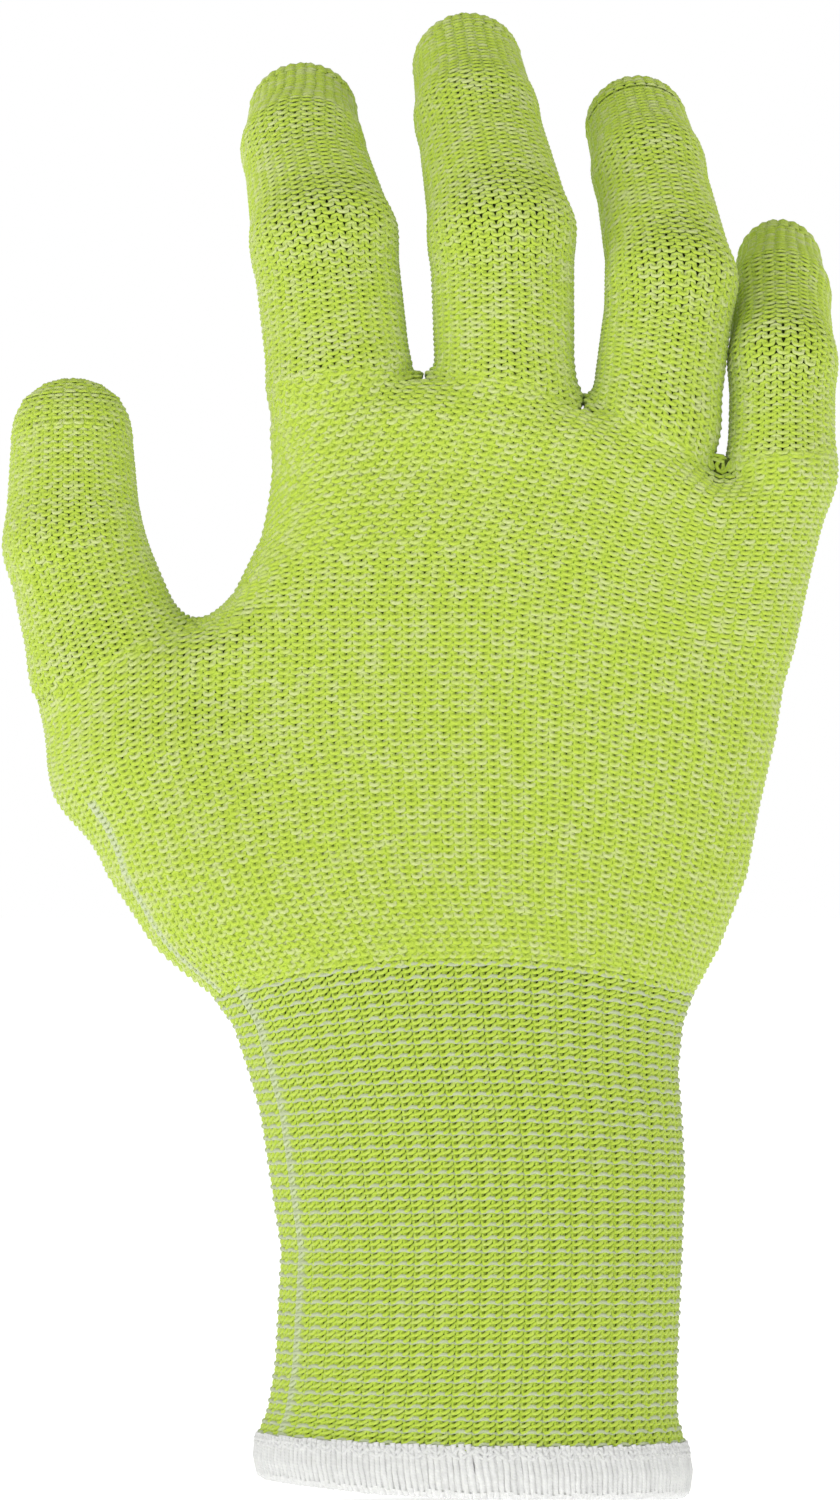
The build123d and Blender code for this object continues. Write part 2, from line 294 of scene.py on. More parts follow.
def chain_distance(points, chain, softness=2.0):
    """Distance to a chain of bones."""
    distance = None
    for part in range(len(chain["points"]) - 1):
        bone = bone_distance(
            points, chain["points"][part], chain["points"][part + 1],
            chain["widths"][part:part + 2], chain["depths"][part:part + 2],
        )
        distance = bone if distance is None else joined(distance, bone, softness)
    return distance


def hand_distance(points):
    """Distance to the whole filled hand."""
    distance = palm_distance(points)
    digits = None
    for chain in fingers.values():
        finger = chain_distance(points, chain)
        digits = finger if digits is None else joined(digits, finger, 1.2)
    distance = joined(distance, digits, 4.0)
    softness = np.interp(points[:, 2], (130, 146), (10, 3.5))
    distance = joined(distance, chain_distance(points, thumb_chain), softness)
    start, end = np.array(WEB_BONE, float)
    web = bone_distance(points, start, end, (WEB_HEIGHT, WEB_HEIGHT), (WEB_DEPTH, WEB_DEPTH))
    return joined(distance, web, 5.0)


def settle(points, rounds=4):
    """Moves points onto the surface of the hand."""
    shape = points.shape
    points = points.reshape(-1, 3).copy()
    step = 0.05
    for _ in range(rounds):
        distance = hand_distance(points)
        ahead = [hand_distance(points + step * axis) for axis in np.eye(3)]
        slope = (np.stack(ahead, axis=1) - distance[:, None]) / step
        size = np.maximum((slope ** 2).sum(axis=1), 0.2)
        points -= (np.clip(distance, -4, 4) / size)[:, None] * slope
    return points.reshape(shape)


def cast(centre, rays, lowest=-NO_LIMIT, highest=NO_LIMIT):
    """Points where rays from inside reach the surface of the hand, kept between two planes across X."""
    reach = np.full(len(rays), 5.0)
    for _ in range(14):
        reach += 0.9 * -hand_distance(centre + rays * reach[:, None])
        reach = np.clip(reach, 1, 40)
    found = centre + rays * reach[:, None]
    outside = np.clip(found[:, 0], lowest, highest) != found[:, 0]
    limit = np.where(rays[:, 0] > 0, highest, lowest)
    shorter = (limit - centre[:, 0]) / np.where(np.abs(rays[:, 0]) < 1e-6, 1e-6, rays[:, 0])
    reach = np.where(outside, shorter, reach)
    return centre + rays * reach[:, None]


def ring_lengths(ring):
    """A ring closed on its first point, and how far round it each point lies, from 0 to 1."""
    closed = np.vstack([ring, ring[:1]])
    lengths = np.concatenate([[0], np.cumsum(np.linalg.norm(np.diff(closed, axis=0), axis=1))])
    return closed, lengths / lengths[-1]


def placed(ring, places):
    """Points of a closed ring at the given places, from 0 to 1 of its length."""
    closed, lengths = ring_lengths(ring)
    return np.stack([np.interp(places, lengths, closed[:, axis]) for axis in range(3)], axis=1)


def evened(ring, columns):
    """A closed ring of points, spaced evenly along its length."""
    return placed(ring, np.arange(columns) / columns)


def seam_places(ring, end_columns, middle_columns):
    """Places on a ring for its columns, with a fixed count of them to the thumb's side of SEAM_X."""
    closed, lengths = ring_lengths(ring)
    turn = int(np.argmax(ring[:, 0]))
    front = np.interp(SEAM_X, closed[:turn + 1, 0], lengths[:turn + 1])
    back = np.interp(-SEAM_X, -closed[turn:, 0], lengths[turn:])
    return np.concatenate([
        np.linspace(0, front, end_columns, endpoint=False),
        np.linspace(front, back, middle_columns, endpoint=False),
        np.linspace(back, 1, end_columns, endpoint=False),
    ])


def smooth_path(chain, start, spacing):
    """Centres and directions along a digit from a height above its first point, corners rounded."""
    points = np.array(chain["points"])
    lengths = np.concatenate([[0], np.cumsum(np.linalg.norm(np.diff(points, axis=0), axis=1))])
    stations = np.arange(start, lengths[-1], spacing)

    def at(distance):
        distance = np.clip(distance, 0, lengths[-1])
        return np.stack([np.interp(distance, lengths, points[:, axis]) for axis in range(3)], axis=1)

    window = np.linspace(-7, 7, 9)
    last = lengths[-1]
    reach = np.minimum(1, (last - stations) / 7)
    centres = np.mean([at(stations + shift * reach) for shift in window], axis=0)
    directions = np.gradient(centres, axis=0)
    directions /= np.linalg.norm(directions, axis=1)[:, None]
    return centres, directions


def ring_rays(direction, width, depth, columns, slope=0.0, lift=0.0):
    """Directions round a digit, evenly spaced on its oval. slope tilts the ring across the hand, and lift
    tips the directions towards the end of the digit."""
    sideways = np.cross([0, 1, 0], direction)
    across = unit(sideways + np.array([0, 0, slope]))
    facing = unit(np.cross(direction, unit(sideways)))
    turn = np.arange(720) / 720 * 2 * math.pi
    oval = np.stack([width * np.cos(turn), depth * np.sin(turn), 0 * turn], axis=1)
    oval = evened(oval, columns)
    rays = oval[:, :1] * across + oval[:, 1:2] * facing
    rays /= np.linalg.norm(rays, axis=1)[:, None]
    rays = math.cos(lift) * rays + math.sin(lift) * direction
    return rays


def digit_rings(chain, start, wales, slope=0.0, lowest=-NO_LIMIT, highest=NO_LIMIT):
    """Grid of rings up a digit, two columns to a wale, from its root to its rounded end. Its first courses
    tuck in under the hand's last ones and stay between lowest and highest."""
    centres, directions = smooth_path(chain, start - TUCKED_COURSES * COURSE, COURSE)
    width, depth = chain["widths"][2], chain["depths"][2]
    rings = []
    for row, (centre, direction) in enumerate(zip(centres, directions)):
        fade = max(0.0, 1 - row / SLOPED_COURSES)
        tilt = slope * fade * fade * (3 - 2 * fade)
        rays = ring_rays(direction, width, depth, wales * 2, tilt)
        slack = GATE_SPREAD * max(0, row - TUCKED_COURSES) if row <= GATED_COURSES else NO_LIMIT
        found = cast(np.repeat(centre[None], len(rays), axis=0), rays, lowest - slack, highest + slack)
        tucked = TUCK_DEPTH * max(0.0, 1 - row / TUCKED_COURSES)
        rings.append(found - rays * tucked)
    return np.array(rings), centres, directions


def dome_rings(centre, direction, width, depth, wales, low_turn, high_turn):
    """Grid of rings over a stretch of the rounded end."""
    rows = max(2, int(round((high_turn - low_turn) * depth / COURSE)) + 1)
    rings = []
    for turn in np.linspace(low_turn, high_turn, rows):
        rays = ring_rays(direction, width, depth, wales * 2, lift=turn)
        rings.append(cast(np.repeat(centre[None], len(rays), axis=0), rays))
    return np.array(rings)


def palm_rings(left, right, heights, depth, rows, end_wales, seam_weight):
    """Grid of rings round the hand. left and right give the ends of a course at a share of the way up, and
    heights its height between them. seam_weight says how strictly a ring keeps to the seam at SEAM_X and to
    its own height."""
    wales = end_wales * 2 + MIDDLE_WALES
    even = np.arange(wales * 2) / (wales * 2)
    rings = []
    for share in np.linspace(0, 1, rows):
        low, high = left(share), right(share)
        across = np.linspace(0, 1, wales * 3)
        eased = 0.5 - 0.5 * np.cos(across * math.pi)
        x = low[0] + (high[0] - low[0]) * eased
        z = heights(share, eased, x)
        y = depth(share) * (1 - np.abs(2 * eased - 1) ** 2.5) ** 0.4
        front = np.stack([x, -y, z], axis=1)
        back = np.stack([x, y, z], axis=1)[::-1][1:-1]
        ring = np.vstack([front, back])
        level = ring[:, 2].copy()
        ring = settle(ring)
        weight = seam_weight(share)
        for _ in range(2):
            ring[:, 2] += (level - ring[:, 2]) * weight
            ring = settle(ring, 2)
        places = even
        if weight:
            places = even + (seam_places(ring, end_wales * 2, MIDDLE_WALES * 2) - even) * weight
        rings.append(placed(ring, places))
    grid = settle(np.array(rings), 2)
    grid[..., 2] = np.minimum(grid[..., 2], np.interp(grid[..., 0], CROTCH_X, CROTCH_Z) + 0.4)
    return grid


def grid_frame(grid):
    """Outward normals of a closed grid."""
    along = np.roll(grid, -1, axis=1) - np.roll(grid, 1, axis=1)
    up = np.gradient(grid, axis=0)
    normal = np.cross(along, up)
    normal /= np.maximum(np.linalg.norm(normal, axis=2), 1e-9)[:, :, None]
    return normal


def sample(grid, row, column):
    """Values of a grid between its points; columns wrap round, rows run on past the ends."""
    rows, columns = grid.shape[:2]
    low_row = np.clip(np.floor(row).astype(int), 0, rows - 2)
    part_row = (row - low_row)[..., None]
    low_column = np.floor(column).astype(int)
    part_column = (column - low_column)[..., None]
    first = low_column % columns
    second = (low_column + 1) % columns
    low = grid[low_row, first] * (1 - part_column) + grid[low_row, second] * part_column
    high = grid[low_row + 1, first] * (1 - part_column) + grid[low_row + 1, second] * part_column
    return low * (1 - part_row) + high * part_row


def soft_noise(rows, count, per_wale, samples):
    """Random values that change smoothly along each row."""
    knots = rng.random((rows, count * per_wale))
    place = np.arange(count * samples) / samples * per_wale
    low = np.floor(place).astype(int)
    part = place - low
    part = part * part * (3 - 2 * part)
    return knots[:, low % knots.shape[1]] * (1 - part) + knots[:, (low + 1) % knots.shape[1]] * part


def yarn_mesh(name, centre, normal, tone, width, depth, facets=FACETS, closed=True, spread=98, line=None):
    """Mesh of rows of yarn along centre (rows, points, 3), open on the hidden side. tone holds how much of
    the pale core shows along the yarn, and on which side of it."""
    if closed:
        tangent = np.roll(centre, -1, axis=1) - np.roll(centre, 1, axis=1)
    else:
        tangent = np.gradient(centre, axis=1)
    tangent /= np.maximum(np.linalg.norm(tangent, axis=2), 1e-9)[:, :, None]
    side = np.cross(tangent, normal)
    side /= np.maximum(np.linalg.norm(side, axis=2), 1e-9)[:, :, None]
    out = np.cross(side, tangent)
    turns = np.radians(np.linspace(-spread, spread, facets + 1))
    points = (
        centre[:, :, None]
        + side[:, :, None] * (width * np.sin(turns))[:, None]
        + out[:, :, None] * (depth * np.cos(turns))[:, None]
    )
    rows, length, corners_round = points.shape[:3]
    index = np.arange(rows * length * corners_round).reshape(rows, length, corners_round)
    ahead = np.roll(index, -1, axis=1) if closed else index[:, 1:]
    here = index if closed else index[:, :-1]
    quads = np.stack([here[:, :, :-1], ahead[:, :, :-1], ahead[:, :, 1:], here[:, :, 1:]], axis=-1)
    quads = quads.reshape(-1, 4)
    steps = here.shape[1]
    u = np.arange(steps + 1) / steps
    v = (np.arange(rows) / rows)[:, None] + np.arange(facets + 1) / facets / rows * 0.86
    uv = np.empty((rows, steps, facets, 4, 2))
    uv[..., 0, 0] = uv[..., 3, 0] = u[None, :-1, None]
    uv[..., 1, 0] = uv[..., 2, 0] = u[None, 1:, None]
    uv[..., 0, 1] = uv[..., 1, 1] = v[:, None, :-1]
    uv[..., 2, 1] = uv[..., 3, 1] = v[:, None, 1:]
    travel = np.cumsum(np.linalg.norm(np.diff(centre, axis=1, append=centre[:, :1]), axis=2), axis=1)
    spin = np.broadcast_to(turns, (rows, length, facets + 1))
    phase = tone[1][:, :, None]
    strand = 0.5 + 0.5 * np.cos(spin - phase)
    amount = np.clip((tone[0][:, :, None] - 0.3) / 0.5, 0, 1)
    pale = np.clip((strand * 1.25 - 0.3), 0, 1) * amount
    seam = np.zeros(spin.shape) if line is None else np.broadcast_to(line[None, :, None], spin.shape)
    return make_mesh(name, points.reshape(-1, 3), quads, uv.reshape(-1, 2), {
        "pale": pale.reshape(-1),
        "seam": seam.reshape(-1),
        "travel": np.broadcast_to(travel[:, :, None], spin.shape).reshape(-1),
        "spin": spin.reshape(-1),
    })


def make_mesh(name, points, quads, uv, values):
    """Mesh with a UV layer and with the given values at its points."""
    mesh = bpy.data.meshes.new(name)
    mesh.vertices.add(len(points))
    mesh.vertices.foreach_set("co", (points * MM).astype(np.float32).ravel())
    mesh.loops.add(quads.size)
    mesh.loops.foreach_set("vertex_index", quads.astype(np.int32).ravel())
    mesh.polygons.add(len(quads))
    mesh.polygons.foreach_set("loop_start", np.arange(len(quads), dtype=np.int32) * 4)
    mesh.update(calc_edges=True)
    mesh.polygons.foreach_set("use_smooth", np.ones(len(quads), bool))
    layer = mesh.uv_layers.new(name="OFBake")
    layer.data.foreach_set("uv", uv.astype(np.float32).ravel())
    for key, value in values.items():
        attribute = mesh.attributes.new(key, "FLOAT", "POINT")
        attribute.data.foreach_set("value", value.astype(np.float32))
    mesh.validate()
    return mesh


def add_piece(name, mesh, material):
    """Object for a mesh, with its material and the slot it fills."""
    piece = bpy.data.objects.new(name, mesh)
    bpy.context.scene.collection.objects.link(piece)
    mesh.materials.append(material)
    return piece


def stitches(grid, first_row, last_row, rib=0.0, lean=0.0):
    """Yarn centres, normals and tones of plain knitting on a grid, for its courses first_row to last_row."""
    wales = grid.shape[1] // 2
    normals = grid_frame(grid)
    rows = np.arange(first_row, last_row)
    turn = np.arange(wales * SAMPLES) / SAMPLES * 2 * math.pi
    wale = turn / (2 * math.pi)
    column = (wale + LOOP_BULGE * np.sin(2 * turn)) * 2
    height = LOOP_HEIGHT * np.cos(turn) + lean * np.sin(2 * turn)
    row_grid = rows[:, None] + height[None, :]
    row_grid = row_grid + 0.06 * (soft_noise(len(rows), wales, 1, SAMPLES) - 0.5)
    column_grid = column[None, :] + 0.16 * (soft_noise(len(rows), wales, 1, SAMPLES) - 0.5)
    place = sample(grid, row_grid, column_grid)
    normal = sample(normals, np.clip(row_grid, 0, len(grid) - 1), column_grid)
    normal /= np.linalg.norm(normal, axis=2)[:, :, None]
    out = LOOP_DEPTH * np.cos(2 * turn) - SINKER_LIFT * np.cos(turn) + rib * np.cos(math.pi * wale)
    out = out[None, :] * (1 - SIDE_FLATNESS * normal[:, :, 0] ** 2)
    out = out + 0.05 * (soft_noise(len(rows), wales, 1, SAMPLES) - 0.5)
    place = place + normal * out[:, :, None]
    amount = soft_noise(len(rows), wales, 3, SAMPLES)
    phase = 5.0 * soft_noise(len(rows), wales, 1, SAMPLES) - 2.5
    return place, normal, [amount, phase]


def liner_mesh(name, grid, first_row, last_row, inset):
    """The inner face of the knit, a sheet just under its loops."""
    normals = grid_frame(grid)
    columns = grid.shape[1] // 2
    rows = np.arange(first_row - LINER_OVERLAP, last_row - 1 + LINER_OVERLAP + 0.5, 1.0)
    row_grid = np.broadcast_to(rows[:, None], (len(rows), columns))
    column_grid = np.broadcast_to(np.arange(columns)[None, :] * 2.0, row_grid.shape)
    sheet = sample(grid, row_grid, column_grid)
    sheet = sheet - inset * sample(normals, np.clip(row_grid, 0, len(grid) - 1), column_grid)
    count = len(rows)
    index = np.arange(count * columns).reshape(count, columns)
    beside = np.roll(index, -1, axis=1)
    quads = np.stack([index[:-1], beside[:-1], beside[1:], index[1:]], axis=-1).reshape(-1, 4)
    u = np.arange(columns + 1) / columns
    v = np.arange(count) / (count - 1)
    uv = np.empty((count - 1, columns, 4, 2))
    uv[..., 0, 0] = uv[..., 3, 0] = u[None, :-1]
    uv[..., 1, 0] = uv[..., 2, 0] = u[None, 1:]
    uv[..., 0, 1] = uv[..., 1, 1] = v[:-1, None]
    uv[..., 2, 1] = uv[..., 3, 1] = v[1:, None]
    wale_of = np.broadcast_to(np.arange(columns)[None, :], (count, columns)).astype(float)
    row_of = np.broadcast_to(rows[:, None], (count, columns)).astype(float)
    return make_mesh(name, sheet.reshape(-1, 3), quads, uv.reshape(-1, 2), {
        "wale": wale_of.reshape(-1),
        "course": row_of.reshape(-1),
    })


# Materials: colours are (main, deep, pale) for a yarn and (light, dark) painted shade for the inner face.
LIME = ((0.53, 0.67, 0.085), (0.44, 0.60, 0.045), (0.58, 0.65, 0.28))
GREY = ((0.48, 0.54, 0.34), (0.41, 0.48, 0.26), (0.58, 0.62, 0.47))
WHITE = ((0.80, 0.80, 0.79), (0.56, 0.56, 0.56), (0.88, 0.88, 0.87))
# Painted shade: the inner face is a near black green that stands for the shadow inside the glove.
SHADE = ((0.11, 0.15, 0.012), (0.06, 0.09, 0.006))
GREY_CORE = (0.55, 0.61, 0.42)


def new_material(name):
    material = bpy.data.materials.new(name)
    material.use_nodes = True
    nodes = material.node_tree.nodes
    nodes.clear()
    output = nodes.new("ShaderNodeOutputMaterial")
    shader = nodes.new("ShaderNodeBsdfPrincipled")
    material.node_tree.links.new(shader.outputs["BSDF"], output.inputs["Surface"])
    return material, nodes, material.node_tree.links, shader


def value_node(nodes, name):
    node = nodes.new("ShaderNodeAttribute")
    node.attribute_name = name
    return node.outputs["Fac"]


def maths(nodes, links, operation, first, second=None, third=None):
    node = nodes.new("ShaderNodeMath")
    node.operation = operation
    for socket, value in zip(node.inputs, (first, second, third)):
        if value is None:
            continue
        if isinstance(value, (int, float)):
            socket.default_value = value
        else:
            links.new(value, socket)
    return node.outputs[0]


def mixed(nodes, links, share, first, second):
    node = nodes.new("ShaderNodeMix")
    node.data_type = "RGBA"
    for socket, value in ((node.inputs[0], share), (node.inputs[6], first), (node.inputs[7], second)):
        if isinstance(value, (float, int)):
            socket.default_value = value
        elif isinstance(value, tuple):
            socket.default_value = (*value, 1)
        else:
            links.new(value, socket)
    return node.outputs[2]


def yarn_material(name, colours, twist):
    """Twisted yarn: plies wind round it every twist mm, paler strands of the core show at random, and fibres
    fuzz it."""
    colour, deep, pale = colours
    material, nodes, links, shader = new_material(name)
    travel, spin, fleck, seam = (value_node(nodes, key) for key in ("travel", "spin", "pale", "seam"))
    coordinate = nodes.new("ShaderNodeTexCoord")
    mottle = nodes.new("ShaderNodeTexNoise")
    mottle.inputs["Scale"].default_value = 900
    mottle.inputs["Detail"].default_value = 3
    links.new(coordinate.outputs["Object"], mottle.inputs["Vector"])
    tint = mixed(nodes, links, mottle.outputs["Fac"], deep, colour)
    flecked = mixed(nodes, links, fleck, tint, pale)
    links.new(mixed(nodes, links, seam, flecked, GREY_CORE), shader.inputs["Base Color"])
    turns = maths(nodes, links, "MULTIPLY", travel, 2 * math.pi / twist)
    wind = maths(nodes, links, "MULTIPLY_ADD", spin, 2.0, turns)
    ply = maths(nodes, links, "SINE", wind)
    fibre = nodes.new("ShaderNodeTexNoise")
    fibre.inputs["Scale"].default_value = 4200
    fibre.inputs["Detail"].default_value = 2
    links.new(coordinate.outputs["Object"], fibre.inputs["Vector"])
    relief = maths(nodes, links, "MULTIPLY_ADD", fibre.outputs["Fac"], 1.4, ply)
    bump = nodes.new("ShaderNodeBump")
    bump.inputs["Strength"].default_value = 0.4
    bump.inputs["Distance"].default_value = 0.00006
    links.new(relief, bump.inputs["Height"])
    links.new(bump.outputs["Normal"], shader.inputs["Normal"])
    rough = maths(nodes, links, "MULTIPLY_ADD", fibre.outputs["Fac"], 0.2, 0.68)
    links.new(rough, shader.inputs["Roughness"])
    shader.inputs["Sheen Weight"].default_value = 0.35
    shader.inputs["Sheen Roughness"].default_value = 0.45
    shader.inputs["Specular IOR Level"].default_value = 0.25
    return material


def painted_shade_liner_material(name, colour, dark):
    """Inner face of the knit in painted shade: a dark sheet with rows of small loops painted lighter and
    darker.
    """
    material, nodes, links, shader = new_material(name)
    wale, course = value_node(nodes, "wale"), value_node(nodes, "course")
    across = maths(nodes, links, "SINE", maths(nodes, links, "MULTIPLY", wale, 2 * math.pi))
    up = maths(nodes, links, "SINE", maths(nodes, links, "MULTIPLY", course, 2 * math.pi))
    weave = maths(nodes, links, "MULTIPLY_ADD", maths(nodes, links, "MULTIPLY", across, up), 0.5, 0.5)
    links.new(mixed(nodes, links, weave, dark, colour), shader.inputs["Base Color"])
    shader.inputs["Roughness"].default_value = 0.9
    bump = nodes.new("ShaderNodeBump")
    bump.inputs["Strength"].default_value = 0.5
    bump.inputs["Distance"].default_value = 0.0002
    links.new(weave, bump.inputs["Height"])
    links.new(bump.outputs["Normal"], shader.inputs["Normal"])
    return material


lime_yarn = yarn_material("lime_yarn", LIME, 0.62)
grey_yarn = yarn_material("grey_elastic", GREY, 0.4)
white_thread = yarn_material("white_thread", WHITE, 0.5)
# Material of painted shade for the inner face, which shows dark through the gaps between loops.
painted_shade_liner = painted_shade_liner_material("inner_face_painted_shade", *SHADE)


def knit_piece(
    name, grid, first_row, last_row, place_on, line=None, fleck=1.0, yarn_width=YARN_WIDTH, **options
):
    """Loops and inner face of a stretch of knitting; place_on is called on both. line is the wale
    that shows the grey core of the yarn all the way up, and fleck how much of it shows elsewhere."""
    centre, normal, tone = stitches(grid, first_row, last_row, **options)
    tone[0] = tone[0] * fleck
    if line is not None:
        wale = np.arange(centre.shape[1]) / SAMPLES
        line = 0.8 * np.exp(-((wale - line) / 0.45) ** 2)
    mesh = yarn_mesh(name, centre, normal, tone, yarn_width, YARN_DEPTH, line=line)
    yarn = add_piece(name, mesh, lime_yarn)
    # The inner face sheet is coloured with painted shade.
    inner_name = f"{name}_inner_face_painted_shade"
    sheet = liner_mesh(inner_name, grid, first_row, last_row, LINER_DEPTH)
    inner = add_piece(inner_name, sheet, painted_shade_liner)
    for piece in (yarn, inner):
        place_on(piece)
    return yarn


def knit_bands(name, grid, first_row, last_row, count, place_on, **options):
    """A stretch of knitting in this many pieces, so that none grows too large; gives the first of them."""
    edges = np.linspace(first_row, last_row, count + 1).astype(int)
    bands = [
        knit_piece(f"{name}_{number + 1}", grid, edges[number], edges[number + 1], place_on, **options)
        for number in range(count)
    ]
    return bands[0]


def knit_patch(name, grid, first_row, last_row, wales, place_on):
    """Short lengths of the courses of a grid, this many wales to each side of its first column."""
    centre, normal, tone = stitches(grid, first_row, last_row)
    reach = wales * SAMPLES
    parts = (np.roll(part, reach, axis=1)[:, :2 * reach] for part in (centre, normal, *tone))
    centre, normal, amount, phase = parts
    mesh = yarn_mesh(name, centre, normal, [amount, phase], YARN_WIDTH, YARN_DEPTH, closed=False)
    place_on(add_piece(name, mesh, lime_yarn))


def riding(body):
    """Puts a piece on one body."""
    return lambda piece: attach(piece, body)


def bending():
    """Applies a piece's transform to its mesh and leaves it in place; it puts it on no body and does not
    bend it.
    """
    return lambda piece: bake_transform(piece)


def close_tip(name, centre, direction, width, depth, wales, body):
    """Rounds of stitches, each with fewer wales than the one below, that close a digit."""
    for step, (low_turn, high_turn, share) in enumerate(TIP_ROUNDS):
        dome = dome_rings(centre, direction, width, depth, max(6, int(wales * share)), low_turn, high_turn)
        knit_piece(f"{name}_dome_{step + 1}", dome, 0, len(dome), riding(body))


def nearest_row(centres, point):
    return int(np.argmin(np.linalg.norm(centres - point, axis=1)))


# Fingers.
for number, name in enumerate(FINGER_NAMES):
    chain = fingers[name]
    left, right = CROTCHES[number], CROTCHES[number + 1]
    points = chain["points"]
    root, knuckle, end, tip = points[1:]
    base_height = (left[1] + right[1]) / 2
    start = base_height - points[0][2]
    slope = (right[1] - left[1]) / (right[0] - left[0])
    lowest = left[0] if name != "index" else -NO_LIMIT
    highest = right[0] if name != "little" else NO_LIMIT
    perimeter = math.pi * (chain["widths"][2] + chain["depths"][2])
    wales = int(round(perimeter / WALE))
    grid, centres, directions = digit_rings(chain, start, wales, slope, lowest, highest)
    split_low = nearest_row(centres, (root + knuckle) / 2 + np.array([0, 0, 0.5]))
    split_high = nearest_row(centres, (knuckle + end) / 2)
    bend = bending(
    )
    yarn = knit_piece(f"{name}_root_stitches", grid, 0, split_low, bend, yarn_width=ROOT_YARN_WIDTH)
    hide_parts(f"{name}_proximal_knit")
    bend = bending(
    )
    yarn = knit_piece(f"{name}_knuckle_stitches", grid, split_low, split_high, bend)
    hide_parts(f"{name}_middle_knit")
    bend = bending(
    )
    yarn = knit_piece(f"{name}_end_stitches", grid, split_high, len(grid), bend)
    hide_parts(f"{name}_tip_knit")
    close_tip(name, tip, directions[-1], chain["widths"][4], chain["depths"][4], wales, f"{name}_tip")


# Thumb.
thumb_root, thumb_knuckle = joints["thumb_root"], joints["thumb_knuckle"]
thumb_points = thumb_chain["points"]
start = sum(np.linalg.norm(thumb_points[step + 1] - thumb_points[step]) for step in range(2))
thumb_wales = int(round(math.pi * (THUMB_WIDTHS[0] + THUMB_DEPTHS[0]) / THUMB_WALE))
thumb_grid, centres, directions = digit_rings(thumb_chain, start, thumb_wales, highest=THUMB_GATE)
middle_row = nearest_row(centres, (thumb_root + thumb_knuckle) / 2) + 1
bend = bending()
yarn = knit_piece("thumb_root_stitches", thumb_grid, 0, middle_row, bend)
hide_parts("thumb_proximal_knit")
bend = bending()
yarn = knit_piece("thumb_end_stitches", thumb_grid, middle_row, len(thumb_grid), bend)
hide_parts("thumb_tip_knit")
close_tip("thumb", thumb_tip, directions[-1], THUMB_WIDTHS[2], THUMB_DEPTHS[2], thumb_wales, "thumb_tip")


# Hand above the thumb: courses run from the thumb crotch's level to the finger crotches.
def between(points, share):
    """Point on a polyline of equal steps at a share of the way."""
    points = np.array(points, float)
    place = np.linspace(0, 1, len(points))
    return np.array([np.interp(share, place, points[:, axis]) for axis in range(points.shape[1])])


# Outlines of the hand, x and z from below: the thumb's side and the little finger's side.
UPPER_LEFT = [(-46.5, THUMB_LEVEL - 1), (-41, 150.5), (-36.6, 160), (-35.2, 172), (-35.5, 186.5)]
UPPER_RIGHT = [(53.8, THUMB_LEVEL - LEVEL_DROP), (56.2, 157.5), (61.0, 174.5)]
LOWER_LEFT = [(-43.4, 85), (-51.6, 93.5), (-58.0, 103.2), (-64.8, 113.6), (-70.6, 124), (-73.2, 133)]
LOWER_RIGHT = [(39.0, 83.7), (46.4, 103.0), (50.2, 122), (53.8, THUMB_LEVEL - LEVEL_DROP)]


def upper_left(share):
    return between(UPPER_LEFT, share)


def upper_right(share):
    return between(UPPER_RIGHT, share)


def thumb_level(x):
    """Height of the course that meets the thumb crotch: it falls away towards the little finger."""
    across = np.clip(x / 55, 0, 1)
    return THUMB_LEVEL - LEVEL_DROP * across * across * (3 - 2 * across)


def upper_heights(share, eased, x):
    """Height of a course above the thumb's level; its two ends follow the outlines."""
    top = np.interp(x, CROTCH_X, CROTCH_Z)
    low = thumb_level(x) - np.clip(SEAM_X - x, 0, 6) / 6
    line = low + (top - low) * share
    left, right = upper_left(share), upper_right(share)
    ends = left[1] + (right[1] - left[1]) * eased
    edge = np.abs(2 * eased - 1) ** 8
    return line * (1 - edge) + ends * edge


upper_grid = palm_rings(
    upper_left, upper_right, upper_heights, lambda share: 15.4 - 5 * share,
    UPPER_ROWS, CROTCH_WALES, lambda share: 1 - share,
)
# Two more courses past the last one, drawn in a little, shape the ends of its loops and its inner face.
top_course = upper_grid[-1]
tuck = np.array([0, 0, 0.5]) - 0.4 * grid_frame(upper_grid)[-1]
upper_grid = np.concatenate([upper_grid, [top_course + tuck, top_course + 2 * tuck]])
yarn = knit_bands(
    "upper_hand_stitches", upper_grid, 1, UPPER_ROWS, 3, riding("hand"), yarn_width=HAND_YARN_WIDTH
)
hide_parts("upper_hand_knit")
knit_patch("thumb_web_stitches", upper_grid, -3, 1, CROTCH_WALES + 1, riding("hand"))


# Hand from the cuff to the thumb crotch.
def lower_left(share):
    return between(LOWER_LEFT, share)


def lower_right(share):
    return between(LOWER_RIGHT, share)


def cuff_arch(x):
    """Height of the cuff's last course at a place across it."""
    return CUFF_TOP - CUFF_SIDE_DROP * np.clip(np.abs(x + 1.5) / 41.5, 0, 1.05) ** 2.2


def lower_heights(share, eased, x):
    """Height of a course below the thumb's level: the courses slant down where they run into the thumb."""
    low = cuff_arch(x)
    slant = np.clip(-46 - x, 0, None) * THUMB_SLANT
    top = thumb_level(x) - 1 - slant + np.clip(x + 46, 0, 6) / 6
    return low + (top - low) * share


lower_grid = palm_rings(
    lower_left, lower_right, lower_heights, lambda share: 19.5 - 4.1 * share,
    LOWER_ROWS, THUMB_SIDE_WALES, lambda share: share,
)
wrist = joints["wrist"]
wrist_bend = bending()
hand_options = {"line": SIDE_WALE, "yarn_width": HAND_YARN_WIDTH}
yarn = knit_piece("wrist_stitches", lower_grid, 0, WRIST_ROWS, wrist_bend, **hand_options)
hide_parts("lower_hand_knit")
knit_bands("thumb_base_stitches", lower_grid, WRIST_ROWS, LINED_ROWS, 2, riding("hand"), **hand_options)
knit_bands(
    "lower_hand_stitches", lower_grid, LINED_ROWS, LOWER_ROWS, 2, riding("hand"), yarn_width=HAND_YARN_WIDTH
)


